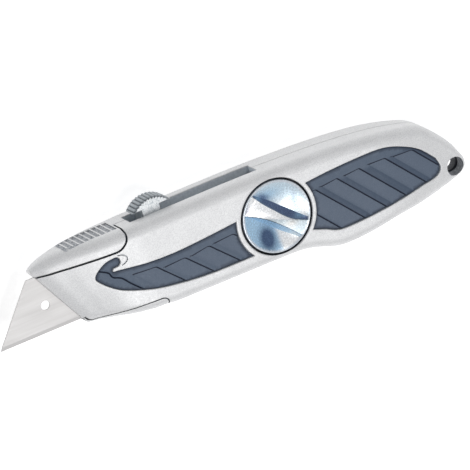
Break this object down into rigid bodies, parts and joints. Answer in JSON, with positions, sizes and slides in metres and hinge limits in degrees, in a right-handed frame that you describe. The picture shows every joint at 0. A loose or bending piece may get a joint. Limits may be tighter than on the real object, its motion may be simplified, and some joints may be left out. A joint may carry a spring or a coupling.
{
  "type": "utility knife",
  "caption": "Retractable utility knife: clamped two-part metal casing with rubber grips, a sliding trapezium blade, a thumb button, a clamp knob and a spare blade store.",
  "frame": {"origin": "middle of the bounding box at the face the knife lies on (the far side)", "axes": "+X from the blade to the butt, +Y towards the slider button, +Z out of the clamp knob side"},
  "size_m": [0.1679, 0.039, 0.0191],
  "materials": {
    "silver_paint": "fine metallic silver paint on a die casting",
    "grip_rubber": "matte slate blue rubber",
    "zinc_plate": "bright zinc plate with a blue passivation",
    "black_nylon": "moulded nylon",
    "spring_steel": "rolled spring steel",
    "brass": "turned brass",
    "blade_steel": "ground carbon steel",
    "cast_grey": "bare zinc casting",
    "magnet": "nickel plated magnet",
    "button_grey": "satin grey"
  },
  "bodies": {
    "far_half": {"far_casing": "silver_paint", "far_front_grip": "grip_rubber", "far_rear_grip": "grip_rubber", "threaded_insert": "brass", "spare_tray": "black_nylon", "spare_clip": "spring_steel", "spare_blade_1": "blade_steel", "spare_blade_2": "blade_steel", "spare_blade_3": "blade_steel", "spare_blade_4": "blade_steel", "spare_blade_5": "blade_steel"},
    "near_half": {"near_casing": "silver_paint", "near_front_grip": "grip_rubber", "near_rear_grip": "grip_rubber"},
    "washer": {"knob_washer": "black_nylon"},
    "knob": {"clamp_knob": "zinc_plate", "knob_stud": "zinc_plate", "knob_clip": "spring_steel"},
    "carrier": {"blade": "blade_steel", "blade_carrier": "cast_grey", "blade_magnet": "magnet", "button_pin": "spring_steel", "button_spring": "spring_steel"},
    "button": {"slider_button": "button_grey"}
  },
  "joints": [
    {"name": "blade_slide", "type": "slide", "parent": "far_half", "child": "carrier", "axis": [1, 0, 0], "range_m": [0, 0.031]},
    {"name": "button_press", "type": "slide", "parent": "carrier", "child": "button", "axis": [0, -1, 0], "range_m": [0, 0.001], "stiffness_N_per_m": 800, "springref_m": -0.001, "deforming": ["button_spring"]},
    {"name": "cover_lift", "type": "slide", "parent": "far_half", "child": "near_half", "axis": [0, 0, 1], "range_m": [0, 0.03]},
    {"name": "knob_rise", "type": "slide", "parent": "near_half", "child": "washer", "axis": [0, 0, 1], "range_m": [0, 0.005]},
    {"name": "knob_turn", "type": "hinge", "parent": "washer", "child": "knob", "pos_m": [0.0141, -0.0007, 0.0095], "axis": [0, 0, 1], "range_deg": [0, 1800]}
  ],
  "couplings": [
    {"joint": "knob_turn", "follows": "knob_rise", "rad_per_m": 6283.2}
  ]
}
